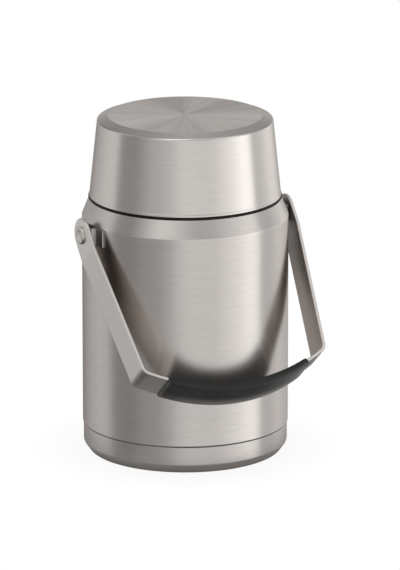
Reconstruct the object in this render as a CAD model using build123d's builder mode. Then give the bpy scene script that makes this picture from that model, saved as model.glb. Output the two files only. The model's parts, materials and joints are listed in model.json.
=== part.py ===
"""Vacuum-insulated food jar with a bail handle, a screw stopper and a bowl that serves as its lid.

Millimetres, +Z up. The origin is the centre of the ring that the jar stands on. The bail's
pivots lie on X, and the bail rests on the -Y side, which is the front.
"""

import os
from math import asin, atan2, cos, hypot, sin

from build123d import *

# ---------------------------------------------------------------- driving dimensions
# Clearances
press_clearance = 0.02  # pieces fixed to each other
pin_clearance = 0.05  # rivet shank in the bail's eye
cup_clearance = 0.05  # base cup over the shell's skirt
side_play = 0.05  # along the rivets, on each side of the bail
loose_clearance = 0.3  # pieces that come apart by hand
thread_clearance = 1.0  # room for the rolled threads

# Outer shell, from the foot up
body_radius = 65.0
shell_wall = 0.7
skirt_end_z = 6.5  # foot of the shell, inside the base cup
base_joint_z = 17.75  # where the base cup meets the body
base_joint_gap = 0.25
skirt_inset = 1.4  # skirt inside the body's radius
shoulder_z = 152.0
shoulder_bend = 3.5
shoulder_rise = 11.2  # up to the flat seat round the neck
shoulder_inset = 4.5
neck_height = 14.8  # above the seat

# Base cup
cup_wall = 0.8
cup_bevel_z = 5.2
cup_bevel_inset = 3.85
foot_ring_width = 5.5
foot_recess = 1.6

# Shell bottom, evacuation seal and getter
bottom_plate_z = 8.0
bottom_dimple_radius = 9.0
bottom_dimple_depth = 1.4
evacuation_hole_radius = 1.5
seal_disc_radius = 6.5
seal_disc_thickness = 0.8
getter_radius = 10.0
getter_thickness = 1.4
getter_rim = 2.5
getter_offset = 24.0

# Inner liner
liner_wall = 0.6
vacuum_gap = 7.7  # between the two walls of the body
neck_gap = 1.2  # and of the neck
liner_floor_z = 13.1
liner_floor_bend = 10.0
liner_waist_drop = 1.0  # below the shoulder
liner_waist_rise = 8.0

# Bail pivots
pivot_drop = 6.0  # below the shoulder
bracket_sheet = 1.2
bracket_height = 11.0
bracket_half_width = 15.0
hat_half_width = 8.0
hat_bend = 1.6
hat_rise = 4.2  # hat's face off the body
washer_thickness = 0.6
washer_radius = 5.3
backing_thickness = 0.8
backing_radius = 5.0
rivet_radius = 3.0
rivet_head_radius = 5.6
rivet_head_height = 1.5
rivet_dish_radius = 3.6
rivet_dish_depth = 0.5
rivet_tail_radius = 4.2
rivet_tail_height = 1.0

# Bail
bail_width = 21.4
bail_thickness = 2.1
bail_straight = 14.0  # parallel stretch below the pivot
bail_taper = 8.55  # each arm leans in by this
bail_apex_drop = 118.4
bail_foot_rise = 17.4  # from the lowest point up to the corners
bail_bend = 7.0
bail_edge_round = 0.4

# Grip
grip_half_length = 48.7
grip_side = 0.5  # rubber over the strip's edges
grip_inside = 1.2  # rubber over the strip's inner face
grip_end_crown = 1.6  # rubber over the strip's outer face, at the grip's ends
grip_crown = 3.4  # and in its middle
grip_round = 2.2
grip_end_bevel = 0.7
grip_rest_gap = 0.4  # between the hanging grip and the body

# Stopper
flange_overhang = 0.4  # past the seat
flange_thickness = 1.6
flange_round = 0.55
stopper_wall = 1.5
gasket_thickness = 2.0
stopper_top_thickness = 2.8
plug_wall = 2.0
plug_clearance = 0.6
plug_depth = 18.6  # below the lip
pan_wall = 2.0
pan_depth = 7.0
pan_floor = 2.0
grab_bar_width = 13.0
grab_bar_drop = 0.8
stopper_rim_round = 0.6
cover_thickness = 1.6
cover_spigot = 2.0

# Lid
lid_rim_inset = 0.5  # inside the stopper's flange
lid_height = 48.6
lid_taper = 5.15
lid_bevel_width = 6.65
lid_disc_rise = 2.5
lid_wall = 0.7
lid_hem = 1.5
bowl_inset = 4.4  # bowl's throat inside the lid's rim
bowl_wall = 0.6
bowl_mouth_z = 3.0  # depth of the seal's channel above the lid's rim
bowl_throat_height = 19.0
bowl_waist_drop = 10.0  # below the lid's shoulder
bowl_side_gap = 2.32  # between the two walls at the waist
bowl_floor_gap = 3.4  # and at the lid's top
bowl_floor_inset = 1.7  # bowl's floor inside the lid's disc
lid_seal_width = 1.8

# Food containers
container_side_gap = 0.8
container_wall = 1.4
container_draft = 2.0
container_rim_height = 2.4
container_foot_width = 1.8
container_foot_height = 3.0
container_foot_bevel = 1.4
container_lid_wall = 1.0
container_lid_skirt = 5.0
container_lid_recess = 3.0
lower_container_height = 78.0
container_head_gap = 8.3  # from the upper lid to the stopper

# ---------------------------------------------------------------- derived sizes
# Heights, from the shoulder up
seat_z = shoulder_z + shoulder_rise
neck_top_z = seat_z + neck_height
lip_z = neck_top_z + liner_wall
flange_top_z = seat_z + flange_thickness
stopper_top_z = lip_z + gasket_thickness + stopper_top_thickness
plug_end_z = lip_z - plug_depth
pan_z = stopper_top_z - pan_depth
foam_roof_z = pan_z - pan_floor
liner_waist_z = shoulder_z - liner_waist_drop
lid_top_z = flange_top_z + lid_height
lid_disc_z = lid_top_z + lid_disc_rise
bowl_rim_z = flange_top_z + bowl_mouth_z
bowl_waist_z = lid_top_z - bowl_waist_drop
bowl_floor_z = lid_disc_z - lid_wall - bowl_floor_gap - bowl_wall

# Radii, from the body inwards: the lid stands on the seat, and the screw necks nest inside it
seat_radius = body_radius - shoulder_inset
skirt_radius = body_radius - skirt_inset
cup_radius = skirt_radius + cup_clearance + cup_wall
foot_radius = cup_radius - cup_bevel_inset
flange_radius = seat_radius + flange_overhang
lid_rim_radius = flange_radius - lid_rim_inset
lid_top_radius = lid_rim_radius - lid_taper
lid_disc_radius = lid_top_radius - lid_bevel_width
lid_slope = lid_taper / lid_height
bowl_throat_radius = lid_rim_radius - bowl_inset
stopper_radius = bowl_throat_radius - thread_clearance
skirt_bore = stopper_radius - stopper_wall
neck_radius = skirt_bore - thread_clearance
mouth_radius = neck_radius - shell_wall - neck_gap - liner_wall
liner_radius = body_radius - shell_wall - vacuum_gap - liner_wall
plug_radius = mouth_radius - plug_clearance
plug_bore = plug_radius - plug_wall
pan_radius = plug_radius - plug_wall - pan_wall
bowl_floor_radius = lid_disc_radius - bowl_floor_inset
bowl_rim_radius = (
    lid_rim_radius
    - lid_slope * (bowl_mouth_z + bowl_wall)
    - lid_wall * hypot(1, lid_slope)
    - press_clearance
)
bowl_waist_radius = (
    lid_rim_radius
    - lid_slope * (bowl_waist_z - flange_top_z)
    - lid_wall
    - bowl_side_gap
    - bowl_wall
)

pivot_z = shoulder_z - pivot_drop
hat_face_x = body_radius + hat_rise
bracket_z = pivot_z - bracket_height / 2
hat_inner_x = hat_face_x - bracket_sheet
bail_inner_x = hat_face_x + washer_thickness + side_play
bail_outer_x = bail_inner_x + bail_thickness
rivet_seat_x = bail_outer_x + side_play
rivet_tail_x = hat_inner_x - backing_thickness

# The foot of the bail is an arc through its two corners and its lowest point.
bail_corner_x = bail_outer_x - bail_taper
bail_corner_drop = bail_apex_drop - bail_foot_rise
bail_arc_radius = (bail_corner_x**2 + bail_foot_rise**2) / (2 * bail_foot_rise)
bail_arc_y = bail_arc_radius - bail_apex_drop
grip_end_angle = asin(grip_half_length / bail_arc_radius)
grip_width = bail_width + 2 * grip_side

# The bail hangs forward until the grip's inner edge all but rests on the body.
grip_edge_drop = bail_apex_drop - bail_thickness - grip_inside + grip_round
grip_edge_side = grip_width / 2 - grip_round
rest_reach = body_radius + grip_rest_gap + grip_round
rest_angle = asin(rest_reach / hypot(grip_edge_drop, grip_edge_side)) + atan2(
    grip_edge_side, grip_edge_drop
)
# In this plane x runs along the pivots and y points from the grip up to them.
bail_plane = Plane(
    origin=(0, 0, pivot_z),
    x_dir=(1, 0, 0),
    z_dir=(0, -cos(rest_angle), sin(rest_angle)),
)

container_lid_radius = mouth_radius - container_side_gap
container_rim_radius = container_lid_radius - container_lid_wall - loose_clearance
container_radius = container_rim_radius - 0.9
container_bore = container_radius - container_wall
container_recess_radius = container_bore - loose_clearance - container_lid_wall
container_foot_radius = container_recess_radius - loose_clearance
upper_container_z = (
    liner_floor_z + lower_container_height + container_lid_wall - container_lid_recess
)
stack_top_z = plug_end_z - cover_thickness - container_head_gap
upper_container_height = stack_top_z - container_lid_wall - upper_container_z

os.makedirs("parts", exist_ok=True)


def save(builder, name):
    """Label a finished piece and write it as one STEP file."""
    builder.part.label = name
    export_step(builder.part, f"parts/{name}.step")


# ---------------------------------------------------------------- vacuum vessel
with BuildPart() as outer_shell:
    with BuildSketch(Plane.XZ):
        with BuildLine():
            FilletPolyline(
                (neck_radius, neck_top_z),
                (neck_radius, seat_z),
                (seat_radius, seat_z),
                (body_radius, shoulder_z),
                (body_radius, base_joint_z),
                (skirt_radius, base_joint_z),
                (skirt_radius, skirt_end_z),
                radius=[1.0, 1.2, shoulder_bend, 0.85, 0.3],
            )
            offset(amount=shell_wall, side=Side.RIGHT, closed=True)
        make_face()
    revolve(axis=Axis.Z)
save(outer_shell, "outer_shell")

with BuildPart() as shell_bottom:
    plate_radius = skirt_radius - shell_wall - press_clearance
    with BuildSketch(Plane.XZ):
        with BuildLine():
            FilletPolyline(
                (evacuation_hole_radius, bottom_plate_z + bottom_dimple_depth),
                (bottom_dimple_radius - 1, bottom_plate_z + bottom_dimple_depth),
                (bottom_dimple_radius, bottom_plate_z),
                (plate_radius - shell_wall, bottom_plate_z),
                (plate_radius - shell_wall, skirt_end_z),
                radius=[0.6, 0.6, 0.8],
            )
            offset(amount=shell_wall, side=Side.LEFT, closed=True)
        make_face()
    revolve(axis=Axis.Z)
save(shell_bottom, "shell_bottom")

with BuildPart() as evacuation_seal:
    seal_disc_z = bottom_plate_z + bottom_dimple_depth - seal_disc_thickness
    with BuildSketch(Plane.XY.offset(seal_disc_z)):
        Circle(seal_disc_radius)
    extrude(amount=seal_disc_thickness)
    fillet(evacuation_seal.edges().group_by(Axis.Z)[0], radius=0.3)
save(evacuation_seal, "evacuation_seal")

with BuildPart() as inner_liner:
    with BuildSketch(Plane.XZ):
        with BuildLine():
            FilletPolyline(
                (0, liner_floor_z),
                (liner_radius, liner_floor_z),
                (liner_radius, liner_waist_z),
                (mouth_radius, liner_waist_z + liner_waist_rise),
                (mouth_radius, lip_z),
                (neck_radius, lip_z),
                radius=[liner_floor_bend, 6.0, 4.0, 1.0],
            )
            offset(amount=liner_wall, side=Side.RIGHT, closed=True)
        make_face()
    revolve(axis=Axis.Z)
save(inner_liner, "inner_liner")

with BuildPart() as getter:
    with BuildSketch(Plane.XY.offset(liner_floor_z - liner_wall - getter_thickness)):
        with Locations((0, getter_offset)):
            Circle(getter_radius)
    extrude(amount=getter_thickness)
    with BuildSketch(Plane.XY.offset(liner_floor_z - liner_wall - getter_thickness)):
        with Locations((0, getter_offset)):
            Circle(getter_radius - getter_rim)
            Circle(getter_radius - 2 * getter_rim, mode=Mode.SUBTRACT)
    extrude(amount=getter_thickness / 2, mode=Mode.SUBTRACT)
save(getter, "getter")

with BuildPart() as base_cup:
    with BuildSketch(Plane.XZ):
        with BuildLine():
            FilletPolyline(
                (cup_radius, base_joint_z - base_joint_gap),
                (cup_radius, cup_bevel_z),
                (foot_radius, 0),
                (foot_radius - foot_ring_width, 0),
                (foot_radius - foot_ring_width - foot_recess, foot_recess),
                (0, foot_recess),
                radius=[3.0, 1.4, 0.9, 1.2],
            )
            offset(amount=cup_wall, side=Side.RIGHT, closed=True)
        make_face()
    revolve(axis=Axis.Z)
save(base_cup, "base_cup")


# ---------------------------------------------------------------- bail pivots
def make_bracket(side):
    """Pressed hat welded to the body; side is 1 for +X and -1 for -X."""
    with BuildPart() as bracket:
        with BuildSketch(Plane.XY.offset(bracket_z)):
            Circle(body_radius + bracket_sheet)
            with Locations((side * body_radius, 0)):
                Rectangle(2 * hat_half_width, 2 * bracket_half_width, mode=Mode.INTERSECT)
            with Locations((side * hat_face_x / 2, 0)):
                Rectangle(hat_face_x, 2 * hat_half_width)
            Circle(body_radius + press_clearance, mode=Mode.SUBTRACT)
            with Locations((side * hat_inner_x / 2, 0)):
                Rectangle(hat_inner_x, 2 * (hat_half_width - bracket_sheet), mode=Mode.SUBTRACT)
        extrude(amount=bracket_height)
        upright = bracket.edges().filter_by(Axis.Z)
        outer_bends = upright.filter_by(lambda e: abs(abs(e.center().X) - hat_face_x) < 0.01)
        fillet(outer_bends, radius=hat_bend)
        with Locations(Plane((side * hat_face_x, 0, pivot_z), z_dir=(side, 0, 0))):
            Hole(rivet_radius + press_clearance, depth=2 * bracket_sheet)
    return bracket


def make_washer(side, inner_x, thickness, radius, bore):
    """Flat washer on the pivot axis, from inner_x outwards."""
    with BuildPart() as washer:
        with BuildSketch(Plane((side * inner_x, 0, pivot_z), z_dir=(side, 0, 0))):
            Circle(radius)
            Circle(bore, mode=Mode.SUBTRACT)
        extrude(amount=thickness)
    return washer


def make_rivet(side):
    """Shouldered rivet: tail inside the hat, dished head outside the bail."""
    crown_x = rivet_seat_x + rivet_head_height
    with BuildPart() as rivet:
        with BuildSketch(Plane((0, 0, pivot_z), x_dir=(side, 0, 0), z_dir=(0, -side, 0))):
            with BuildLine():
                Polyline(
                    (crown_x - rivet_dish_depth, 0),
                    (rivet_tail_x - rivet_tail_height, 0),
                    (rivet_tail_x - rivet_tail_height, rivet_tail_radius - 0.4),
                    (rivet_tail_x - rivet_tail_height / 2, rivet_tail_radius),
                    (rivet_tail_x, rivet_tail_radius),
                    (rivet_tail_x, rivet_radius),
                    (rivet_seat_x, rivet_radius),
                    (rivet_seat_x, rivet_head_radius),
                    (rivet_seat_x + rivet_head_height / 2, rivet_head_radius),
                )
                TangentArc(
                    (rivet_seat_x + rivet_head_height / 2, rivet_head_radius),
                    (crown_x, rivet_head_radius - rivet_head_height / 2),
                    tangent=(1, 0),
                )
                Line((crown_x, rivet_head_radius - rivet_head_height / 2), (crown_x, rivet_dish_radius))
                TangentArc(
                    (crown_x - rivet_dish_depth, 0),
                    (crown_x, rivet_dish_radius),
                    tangent=(0, 1),
                )
            make_face()
        revolve(axis=Axis((0, 0, pivot_z), (1, 0, 0)))
    return rivet


for side, place in ((-1, "left"), (1, "right")):
    save(make_bracket(side), f"bracket_{place}")
    save(make_rivet(side), f"rivet_{place}")
    friction_washer = make_washer(
        side, hat_face_x, washer_thickness, washer_radius, rivet_radius + press_clearance
    )
    save(friction_washer, f"friction_washer_{place}")
    backing_washer = make_washer(
        side, rivet_tail_x, backing_thickness, backing_radius, rivet_radius + press_clearance
    )
    save(backing_washer, f"backing_washer_{place}")

# ---------------------------------------------------------------- bail and grip
with BuildPart() as bail:
    with BuildSketch(bail_plane):
        with BuildLine() as strip:
            Polyline(
                (bail_outer_x, bail_width / 2),
                (bail_outer_x, -bail_straight),
                (bail_corner_x, -bail_corner_drop),
            )
            ThreePointArc(
                (bail_corner_x, -bail_corner_drop),
                (0, -bail_apex_drop),
                (-bail_corner_x, -bail_corner_drop),
            )
            Polyline(
                (-bail_corner_x, -bail_corner_drop),
                (-bail_outer_x, -bail_straight),
                (-bail_outer_x, bail_width / 2),
            )
            corners = strip.vertices().filter_by(lambda v: abs(abs(v.X) - bail_corner_x) < 0.01)
            fillet(corners, radius=bail_bend)
            offset(amount=bail_thickness, side=Side.RIGHT, closed=True)
        make_face()
    extrude(amount=bail_width / 2, both=True)
    fillet(bail.edges().filter_by(Axis.X), radius=bail_width / 2 - 0.01)
    with BuildSketch(Plane.YZ):
        with Locations((0, pivot_z)):
            Circle(rivet_radius + pin_clearance)
    extrude(amount=bail_outer_x, both=True, mode=Mode.SUBTRACT)
    long_edges = bail.edges().filter_by(lambda e: e.length > 2 * bail_bend)
    fillet(long_edges, radius=bail_edge_round)
save(bail, "bail")


def on_grip_arc(radius, angle):
    """Point in the bail's plane, at a radius and angle about the centre of its foot's arc."""
    return (radius * sin(angle), bail_arc_y - radius * cos(angle))


with BuildPart() as grip:
    inner = bail_arc_radius - bail_thickness - grip_inside
    outer_end = bail_arc_radius + grip_end_crown
    with BuildSketch(bail_plane):
        with BuildLine():
            ThreePointArc(
                on_grip_arc(inner, -grip_end_angle),
                on_grip_arc(inner, 0),
                on_grip_arc(inner, grip_end_angle),
            )
            Line(on_grip_arc(inner, grip_end_angle), on_grip_arc(outer_end, grip_end_angle))
            ThreePointArc(
                on_grip_arc(outer_end, grip_end_angle),
                on_grip_arc(bail_arc_radius + grip_crown, 0),
                on_grip_arc(outer_end, -grip_end_angle),
            )
            Line(on_grip_arc(outer_end, -grip_end_angle), on_grip_arc(inner, -grip_end_angle))
        make_face()
    extrude(amount=grip_width / 2, both=True)
    fillet(grip.edges().filter_by(GeomType.CIRCLE), radius=grip_round)
    ends = grip.faces().filter_by(GeomType.PLANE).sort_by(Axis.X)
    chamfer((ends[0] + ends[-1]).edges(), length=grip_end_bevel)
    add(bail.part, mode=Mode.SUBTRACT)
save(grip, "grip")

# ---------------------------------------------------------------- screw stopper
with BuildPart() as stopper_body:
    with BuildSketch(Plane.XZ):
        with BuildLine():
            Polyline(
                (0, foam_roof_z),
                (plug_bore, foam_roof_z),
                (plug_bore, plug_end_z),
                (plug_radius, plug_end_z),
                (plug_radius, lip_z + gasket_thickness),
                (skirt_bore, lip_z + gasket_thickness),
                (skirt_bore, seat_z),
                (flange_radius, seat_z),
                (flange_radius, flange_top_z),
                (stopper_radius, flange_top_z),
                (stopper_radius, stopper_top_z),
                (pan_radius, stopper_top_z),
                (pan_radius, pan_z),
                (0, pan_z),
                close=True,
            )
        make_face()
    revolve(axis=Axis.Z)
    top_rim = stopper_body.edges().filter_by(GeomType.CIRCLE).group_by(Axis.Z)[-1]
    fillet(top_rim, radius=stopper_rim_round)
    flange_edges = stopper_body.edges().filter_by(GeomType.CIRCLE).group_by(SortBy.RADIUS)[-1]
    fillet(flange_edges, radius=flange_round)
    with BuildSketch(Plane.XY.offset(pan_z)):
        Rectangle(2 * (pan_radius + pan_wall), grab_bar_width)
        Circle(pan_radius + pan_wall / 2, mode=Mode.INTERSECT)
    extrude(amount=pan_depth - grab_bar_drop)
    bar_top = stopper_body.faces().filter_by(Axis.Z).filter_by_position(
        Axis.Z, stopper_top_z - grab_bar_drop - 0.1, stopper_top_z - grab_bar_drop + 0.1
    )
    fillet(bar_top.edges().filter_by(Axis.X), radius=2.0)
save(stopper_body, "stopper_body")

with BuildPart() as stopper_gasket:
    with BuildSketch(Plane.XY.offset(lip_z)):
        Circle(skirt_bore - loose_clearance)
        Circle(plug_radius + loose_clearance, mode=Mode.SUBTRACT)
    extrude(amount=gasket_thickness)
save(stopper_gasket, "stopper_gasket")

with BuildPart() as stopper_cover:
    with BuildSketch(Plane.XY.offset(plug_end_z - cover_thickness)):
        Circle(plug_radius)
    extrude(amount=cover_thickness)
    fillet(stopper_cover.edges().group_by(Axis.Z)[0], radius=1.2)
    with BuildSketch(Plane.XY.offset(plug_end_z)):
        Circle(plug_bore - press_clearance)
        Circle(plug_bore - plug_wall, mode=Mode.SUBTRACT)
    extrude(amount=cover_spigot)
save(stopper_cover, "stopper_cover")

with BuildPart() as stopper_foam:
    foam_z = plug_end_z + cover_spigot
    with BuildSketch(Plane.XY.offset(foam_z)):
        Circle(plug_bore - loose_clearance)
    extrude(amount=foam_roof_z - foam_z)
save(stopper_foam, "stopper_foam")

# ---------------------------------------------------------------- lid, which is also the bowl
with BuildPart() as lid_shell:
    with BuildSketch(Plane.XZ):
        with BuildLine():
            FilletPolyline(
                (lid_rim_radius - lid_hem, flange_top_z),
                (lid_rim_radius, flange_top_z),
                (lid_top_radius, lid_top_z),
                (lid_disc_radius, lid_disc_z),
                (0, lid_disc_z),
                radius=[0.8, 1.4, 2.0],
            )
            offset(amount=lid_wall, side=Side.LEFT, closed=True)
        make_face()
    revolve(axis=Axis.Z)
save(lid_shell, "lid_shell")

with BuildPart() as lid_bowl:
    with BuildSketch(Plane.XZ):
        with BuildLine():
            FilletPolyline(
                (bowl_rim_radius, bowl_rim_z),
                (bowl_throat_radius, bowl_rim_z),
                (bowl_throat_radius, bowl_rim_z + bowl_throat_height),
                (bowl_waist_radius, bowl_waist_z),
                (bowl_floor_radius, bowl_floor_z),
                (0, bowl_floor_z),
                radius=[0.8, 8.0, 6.0, 5.0],
            )
            offset(amount=bowl_wall, side=Side.RIGHT, closed=True)
        make_face()
    revolve(axis=Axis.Z)
save(lid_bowl, "lid_bowl")

with BuildPart() as lid_seal:
    with BuildSketch(Plane.XY.offset(flange_top_z)):
        Circle(lid_rim_radius - lid_hem - loose_clearance)
        Circle(lid_rim_radius - lid_hem - loose_clearance - lid_seal_width, mode=Mode.SUBTRACT)
    extrude(amount=bowl_mouth_z)
save(lid_seal, "lid_seal")


# ---------------------------------------------------------------- food containers
def make_container(base_z, height):
    """Moulded cup standing at base_z; height is from its foot to its rim."""
    rim_z = base_z + height
    floor_z = base_z + container_foot_height
    foot_top_z = base_z + container_lid_recess + loose_clearance
    inner_foot_radius = container_foot_radius - container_foot_width
    with BuildPart() as container:
        with BuildSketch(Plane.XZ):
            with BuildLine():
                Polyline(
                    (0, floor_z),
                    (inner_foot_radius - 0.5, floor_z),
                    (inner_foot_radius, base_z),
                    (container_foot_radius, base_z),
                    (container_foot_radius, foot_top_z),
                    (container_radius - container_draft, foot_top_z + container_foot_bevel),
                    (container_radius, rim_z - container_rim_height),
                    (container_rim_radius, rim_z - container_rim_height),
                    (container_rim_radius, rim_z),
                    (container_bore, rim_z),
                    (container_bore - container_draft, floor_z + container_wall),
                    (0, floor_z + container_wall),
                    close=True,
                )
            make_face()
        revolve(axis=Axis.Z)
        floor_edge = container.edges().filter_by_position(
            Axis.Z, floor_z + container_wall - 0.01, floor_z + container_wall + 0.01
        )
        fillet(floor_edge, radius=4.0)
    return container


def make_container_lid(base_z):
    """Snap lid over the rim at base_z, with a recess that holds the next container's foot."""
    with BuildPart() as container_lid:
        with BuildSketch(Plane.XZ):
            with BuildLine():
                Polyline(
                    (0, base_z + container_lid_wall - container_lid_recess),
                    (container_recess_radius, base_z + container_lid_wall - container_lid_recess),
                    (container_recess_radius, base_z + container_lid_wall),
                    (container_lid_radius, base_z + container_lid_wall),
                    (container_lid_radius, base_z - container_lid_skirt),
                    (container_lid_radius - container_lid_wall, base_z - container_lid_skirt),
                    (container_lid_radius - container_lid_wall, base_z),
                    (container_recess_radius + container_lid_wall, base_z),
                    (container_recess_radius + container_lid_wall, base_z - container_lid_recess),
                    (0, base_z - container_lid_recess),
                    close=True,
                )
            make_face()
        revolve(axis=Axis.Z)
        top_rim = container_lid.edges().filter_by(GeomType.CIRCLE).group_by(Axis.Z)[-1]
        fillet(top_rim.sort_by(SortBy.RADIUS)[-1], radius=0.7)
    return container_lid


containers = (
    ("lower", liner_floor_z, lower_container_height),
    ("upper", upper_container_z, upper_container_height),
)
for place, base_z, height in containers:
    save(make_container(base_z, height), f"{place}_container")
    save(make_container_lid(base_z + height), f"{place}_container_lid")
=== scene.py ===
import json
from math import asin, atan2, cos, pi, radians, sin, sqrt, tan

import bmesh
import bpy
from mathutils import Matrix, Vector


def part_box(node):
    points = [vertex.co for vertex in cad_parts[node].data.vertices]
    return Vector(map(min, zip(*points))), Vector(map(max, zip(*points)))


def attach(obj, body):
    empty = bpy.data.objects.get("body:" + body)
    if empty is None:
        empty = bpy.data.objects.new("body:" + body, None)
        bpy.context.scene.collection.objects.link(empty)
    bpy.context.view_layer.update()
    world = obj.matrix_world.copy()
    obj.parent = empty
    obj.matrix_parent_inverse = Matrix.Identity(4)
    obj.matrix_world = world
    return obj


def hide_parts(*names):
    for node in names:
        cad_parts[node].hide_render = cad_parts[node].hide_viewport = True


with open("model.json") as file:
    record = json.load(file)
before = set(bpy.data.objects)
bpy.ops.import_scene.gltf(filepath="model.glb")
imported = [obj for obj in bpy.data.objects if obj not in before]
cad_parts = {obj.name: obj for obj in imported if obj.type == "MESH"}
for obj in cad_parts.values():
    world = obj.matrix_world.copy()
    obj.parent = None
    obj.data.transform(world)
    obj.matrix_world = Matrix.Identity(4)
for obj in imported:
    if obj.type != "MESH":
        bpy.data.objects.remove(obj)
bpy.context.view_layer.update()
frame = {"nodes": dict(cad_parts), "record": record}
scene = bpy.context.scene
scene.view_settings.view_transform = "Standard"
mm = 0.001
record = frame["record"]
bodyOf = {node: body for body, nodes in record["behaviour"]["bodies"].items() for node in nodes}
print("frame loaded")


# Shader maths: a Value is a socket, and arithmetic on it adds Math nodes.
class Value:
    def __init__(self, finish, socket):
        self.finish = finish
        self.socket = socket

    def maths(self, operation, *terms):
        return self.finish.node("ShaderNodeMath", {"operation": operation}, dict(enumerate(terms)))

    def __add__(self, other):
        return self.maths("ADD", self, other)

    def __sub__(self, other):
        return self.maths("SUBTRACT", self, other)

    def __rsub__(self, other):
        return self.maths("SUBTRACT", other, self)

    def __mul__(self, other):
        return self.maths("MULTIPLY", self, other)

    def __truediv__(self, other):
        return self.maths("DIVIDE", self, other)

    def __pow__(self, power):
        return self.maths("POWER", self, power)

    __radd__ = __add__
    __rmul__ = __mul__


class Finish:
    def __init__(self, owner):
        owner.use_nodes = True
        self.tree = owner.node_tree
        self.tree.nodes.clear()

    # settings are set first, then each socket, by number or name, gets a value or a link
    def node(self, kind, settings=None, sockets=None, out=0):
        made = self.tree.nodes.new(kind)
        for key, setting in (settings or {}).items():
            if key == "stops":
                self.setStops(made.color_ramp, setting)
            else:
                setattr(made, key, setting)
        for key, given in (sockets or {}).items():
            socket = made.inputs[key]
            if isinstance(given, Value):
                self.tree.links.new(given.socket, socket)
            else:
                socket.default_value = given
        return Value(self, made.outputs[out]) if made.outputs else made

    def setStops(self, ramp, stops):
        while len(ramp.elements) < len(stops):
            ramp.elements.new(1.0)
        for element, (position, level) in zip(ramp.elements, stops):
            element.position = position
            element.color = (level, level, level, 1)

    def objectPlace(self):
        return self.node("ShaderNodeTexCoord", out="Object")

    def split(self, vector):
        first = self.node("ShaderNodeSeparateXYZ", sockets={0: vector})
        return [Value(self, socket) for socket in first.socket.node.outputs]

    def join(self, x, y, z):
        return self.node("ShaderNodeCombineXYZ", sockets={0: x, 1: y, 2: z})

    def noise(self, vector, scale, detail=2.0, roughness=0.5):
        sockets = {"Vector": vector, "Scale": scale, "Detail": detail, "Roughness": roughness}
        return self.node("ShaderNodeTexNoise", sockets=sockets)

    def mixColor(self, factor, first, second):
        sockets = {0: factor, 6: (*first, 1), 7: (*second, 1)}
        return self.node("ShaderNodeMix", {"data_type": "RGBA"}, sockets, out=2)

    def scaleColor(self, color, factor):
        return self.node("ShaderNodeVectorMath", {"operation": "SCALE"}, {0: color, 3: factor})

    def spread(self, value, low, high, start, end):  # a value from low to high becomes start to end
        sockets = {0: value, 1: low, 2: high, 3: start, 4: end}
        return self.node("ShaderNodeMapRange", sockets=sockets)

    def bump(self, height, strength, depth):  # depth in metres
        sockets = {"Height": height, "Strength": strength, "Distance": depth}
        return self.node("ShaderNodeBump", sockets=sockets)

    def surface(self, **sockets):  # a name's underscores stand for spaces
        named = {key.replace("_", " "): given for key, given in sockets.items()}
        shader = self.node("ShaderNodeBsdfPrincipled", sockets=named)
        self.node("ShaderNodeOutputMaterial", sockets={0: shader})


def newFinish(name):
    material = bpy.data.materials.new(name)
    return material, Finish(material)


def stopsRound(levels, share=1.0):  # angles from -180 to 180 degrees, each with a level, as a ramp's stops
    return [((angle + 180) / 360, level * share) for angle, level in levels]


turnedSteel = {
    "color": (0.659, 0.621, 0.591),
    "darkColor": (0.619, 0.583, 0.555),
    "around": 80,  # brush marks per metre round the axis
    "across": 2600,  # and across it
    "bandsAround": 70,  # wider bands per metre round the axis
    "bandsAcross": 0.27,  # and across it, as a share of the marks
    "smudges": 24,
    "roughness": 0.255,
    "streakRoughness": 0.03,
    "anisotropy": 0.68,
    "tint": (1.0, 0.97, 0.95, 1),
    "grainDepth": 0.000004,
}


# Painted light on the lid's turned disc: light and dark spokes of painted reflection, inside a plainer,
# darker bevel of painted shade; the hem is a little lighter, a painted highlight
def discPaintedLight(finish, x, y, z, radius, disc):
    turn = finish.node("ShaderNodeMath", {"operation": "ARCTAN2"}, {0: y, 1: x}) / (2 * pi) + 0.5
    reach = radius + mm  # never nought
    fineX = x / reach * disc["fineSpokes"]
    fineY = y / reach * disc["fineSpokes"]
    fine = finish.noise(finish.join(fineX, fineY, 0), 1.0, 4.0, 0.6)
    stops = stopsRound(disc["paintedReflectionSpokes"])
    # painted reflection: light and dark spokes by angle round Z stand for the studio reflected in the disc
    paintedReflectionSpokes = finish.node("ShaderNodeValToRGB", {"stops": stops}, {0: turn + (fine - 0.5) * disc["waver"]})
    tone = 1 + (paintedReflectionSpokes + fine * disc["fineShare"] - disc["middle"]) * disc["contrast"]
    bevelLow, discEdge, hemHigh = (disc[key] * mm for key in ("bevelLow", "radius", "hemHigh"))
    onTop = finish.spread(z, bevelLow, bevelLow + 0.0004, 0, 1)
    onDisc = finish.spread(radius, discEdge - 0.0003, discEdge + 0.0003, 1, 0)
    # painted shade: the bevel is darkened instead of carrying the spokes
    sockets = {0: onDisc, 2: disc["bevelShade"], 3: tone}
    shade = finish.node("ShaderNodeMix", {"data_type": "FLOAT"}, sockets)
    # painted highlight: a light band along the hem
    onHem = finish.spread(z, hemHigh - 0.0002, hemHigh, 1, 0)
    return 1 + (shade - 1) * onTop + onHem * disc["hemPaintedHighlight"]


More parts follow.
